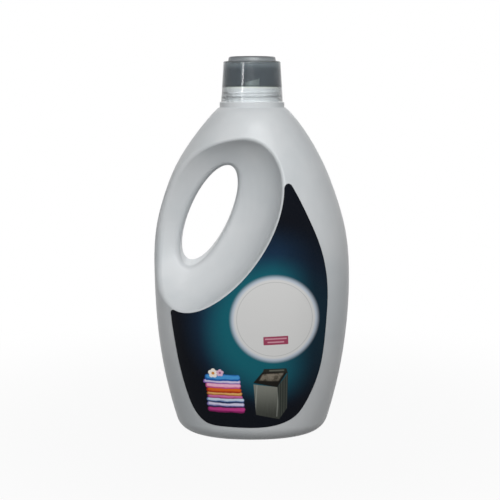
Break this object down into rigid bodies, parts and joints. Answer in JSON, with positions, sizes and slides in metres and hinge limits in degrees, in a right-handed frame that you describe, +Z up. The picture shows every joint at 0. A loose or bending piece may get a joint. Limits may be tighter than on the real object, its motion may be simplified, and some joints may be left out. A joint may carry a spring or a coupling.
{
  "type": "laundry detergent bottle",
  "caption": "Tall oval plastic bottle with a moulded side handle, a screw-on clear measuring cap, a drain-back pouring fitment in its neck and a dark front label.",
  "frame": {"origin": "on the surface that the bottle stands on, under the axis of its neck", "axes": "+Z up along the neck, +Y towards the back with the label facing -Y, handle on the -X side"},
  "size_m": [0.2019, 0.1477, 0.3879],
  "materials": {
    "bottle_plastic": "satin white polyethylene",
    "spout_plastic": "satin natural polyethylene",
    "cap_plastic": "smoky clear polypropylene",
    "label_film": "printed plastic film"
  },
  "bodies": {
    "bottle_body": {"bottle": "bottle_plastic", "pour_spout": "spout_plastic", "front_label": "label_film"},
    "cap": {"measuring_cap": "cap_plastic"}
  },
  "joints": [
    {"name": "cap_lift", "type": "slide", "parent": "bottle_body", "child": "cap", "axis": [0, 0, 1], "range_m": [0, 0.06]}
  ]
}
